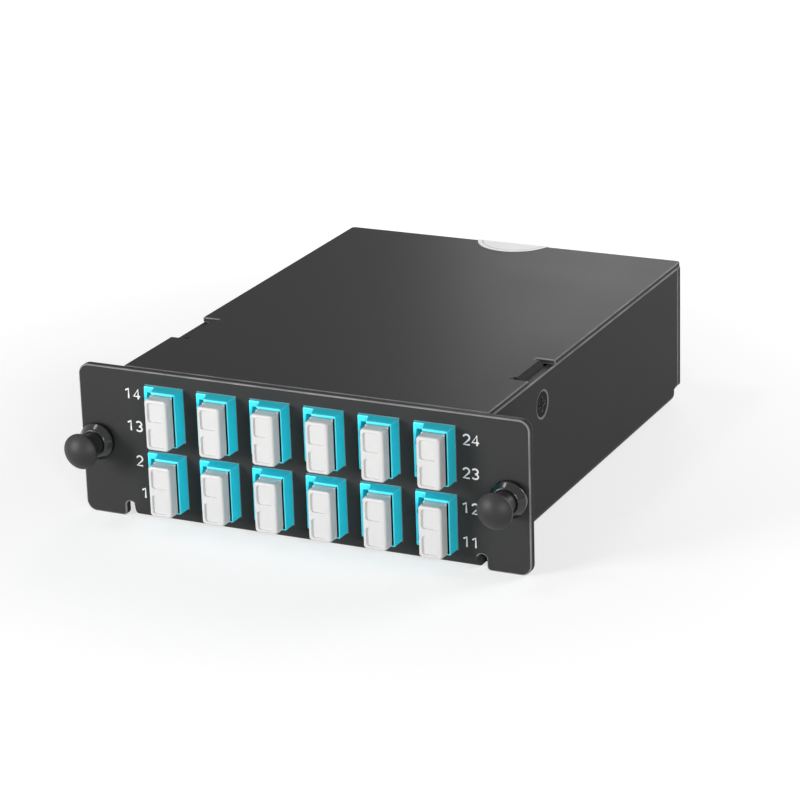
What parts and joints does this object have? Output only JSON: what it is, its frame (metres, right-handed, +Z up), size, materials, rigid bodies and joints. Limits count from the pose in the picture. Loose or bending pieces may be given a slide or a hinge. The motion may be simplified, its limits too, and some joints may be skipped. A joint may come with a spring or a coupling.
{
  "type": "fibre cassette",
  "caption": "Flat sheet-metal fibre cassette with rows of capped duplex ports in front, push-in latches in its ears, multi-fibre ports behind and the fibres inside.",
  "frame": {"origin": "middle of the overall box, at the bottom of the case", "axes": "+X to the right seen from in front, +Y from the ports towards the rear, +Z up"},
  "size_m": [0.109, 0.1416, 0.0351],
  "materials": {
    "sheet_steel": "charcoal powder coat",
    "screw_black": "black",
    "aqua": "satin",
    "cap_white": "satin",
    "plug_beige": "satin",
    "collar_black": "glossy",
    "knob_grey": "satin",
    "rear_black": "satin",
    "jacket_aqua": "satin",
    "holder_grey": "satin",
    "seal_paper": "smooth"
  },
  "bodies": {
    "case": {"case_tray": "sheet_steel", "cover": "sheet_steel", "cover_screws": "screw_black", "adapter_01": "aqua", "adapter_02": "aqua", "adapter_03": "aqua", "adapter_04": "aqua", "adapter_05": "aqua", "adapter_06": "aqua", "adapter_07": "aqua", "adapter_08": "aqua", "adapter_09": "aqua", "adapter_10": "aqua", "adapter_11": "aqua", "adapter_12": "aqua", "duplex_plug_01": "plug_beige", "duplex_plug_02": "plug_beige", "duplex_plug_03": "plug_beige", "duplex_plug_04": "plug_beige", "duplex_plug_05": "plug_beige", "duplex_plug_06": "plug_beige", "duplex_plug_07": "plug_beige", "duplex_plug_08": "plug_beige", "duplex_plug_09": "plug_beige", "duplex_plug_10": "plug_beige", "duplex_plug_11": "plug_beige", "duplex_plug_12": "plug_beige", "grommet_left": "collar_black", "grommet_right": "collar_black", "rear_adapter_left": "rear_black", "rear_adapter_right": "rear_black", "rear_plug_left": "rear_black", "rear_plug_right": "rear_black", "fibre_harness_upper": "jacket_aqua", "fibre_harness_lower": "jacket_aqua", "block_holder": "holder_grey", "seal": "seal_paper"},
    "cap_01": {"dust_cap_01": "cap_white"},
    "cap_02": {"dust_cap_02": "cap_white"},
    "cap_03": {"dust_cap_03": "cap_white"},
    "cap_04": {"dust_cap_04": "cap_white"},
    "cap_05": {"dust_cap_05": "cap_white"},
    "cap_06": {"dust_cap_06": "cap_white"},
    "cap_07": {"dust_cap_07": "cap_white"},
    "cap_08": {"dust_cap_08": "cap_white"},
    "cap_09": {"dust_cap_09": "cap_white"},
    "cap_10": {"dust_cap_10": "cap_white"},
    "cap_11": {"dust_cap_11": "cap_white"},
    "cap_12": {"dust_cap_12": "cap_white"},
    "rear_cap_left_body": {"rear_cap_left": "rear_black"},
    "rear_cap_right_body": {"rear_cap_right": "rear_black"},
    "latch_left": {"plunger_left": "knob_grey"},
    "latch_right": {"plunger_right": "knob_grey"}
  },
  "joints": [
    {"name": "cap_01_pull", "type": "slide", "parent": "case", "child": "cap_01", "axis": [0, -1, 0], "range_m": [0, 0.014]},
    {"name": "cap_02_pull", "type": "slide", "parent": "case", "child": "cap_02", "axis": [0, -1, 0], "range_m": [0, 0.014]},
    {"name": "cap_03_pull", "type": "slide", "parent": "case", "child": "cap_03", "axis": [0, -1, 0], "range_m": [0, 0.014]},
    {"name": "cap_04_pull", "type": "slide", "parent": "case", "child": "cap_04", "axis": [0, -1, 0], "range_m": [0, 0.014]},
    {"name": "cap_05_pull", "type": "slide", "parent": "case", "child": "cap_05", "axis": [0, -1, 0], "range_m": [0, 0.014]},
    {"name": "cap_06_pull", "type": "slide", "parent": "case", "child": "cap_06", "axis": [0, -1, 0], "range_m": [0, 0.014]},
    {"name": "cap_07_pull", "type": "slide", "parent": "case", "child": "cap_07", "axis": [0, -1, 0], "range_m": [0, 0.014]},
    {"name": "cap_08_pull", "type": "slide", "parent": "case", "child": "cap_08", "axis": [0, -1, 0], "range_m": [0, 0.014]},
    {"name": "cap_09_pull", "type": "slide", "parent": "case", "child": "cap_09", "axis": [0, -1, 0], "range_m": [0, 0.014]},
    {"name": "cap_10_pull", "type": "slide", "parent": "case", "child": "cap_10", "axis": [0, -1, 0], "range_m": [0, 0.014]},
    {"name": "cap_11_pull", "type": "slide", "parent": "case", "child": "cap_11", "axis": [0, -1, 0], "range_m": [0, 0.014]},
    {"name": "cap_12_pull", "type": "slide", "parent": "case", "child": "cap_12", "axis": [0, -1, 0], "range_m": [0, 0.014]},
    {"name": "rear_cap_left_pull", "type": "slide", "parent": "case", "child": "rear_cap_left_body", "axis": [0, 1, 0], "range_m": [0, 0.008]},
    {"name": "rear_cap_right_pull", "type": "slide", "parent": "case", "child": "rear_cap_right_body", "axis": [0, 1, 0], "range_m": [0, 0.008]},
    {"name": "latch_left_push", "type": "slide", "parent": "case", "child": "latch_left", "axis": [0, 1, 0], "range_m": [0, 0.0045]},
    {"name": "latch_right_push", "type": "slide", "parent": "case", "child": "latch_right", "axis": [0, 1, 0], "range_m": [0, 0.0045]}
  ]
}
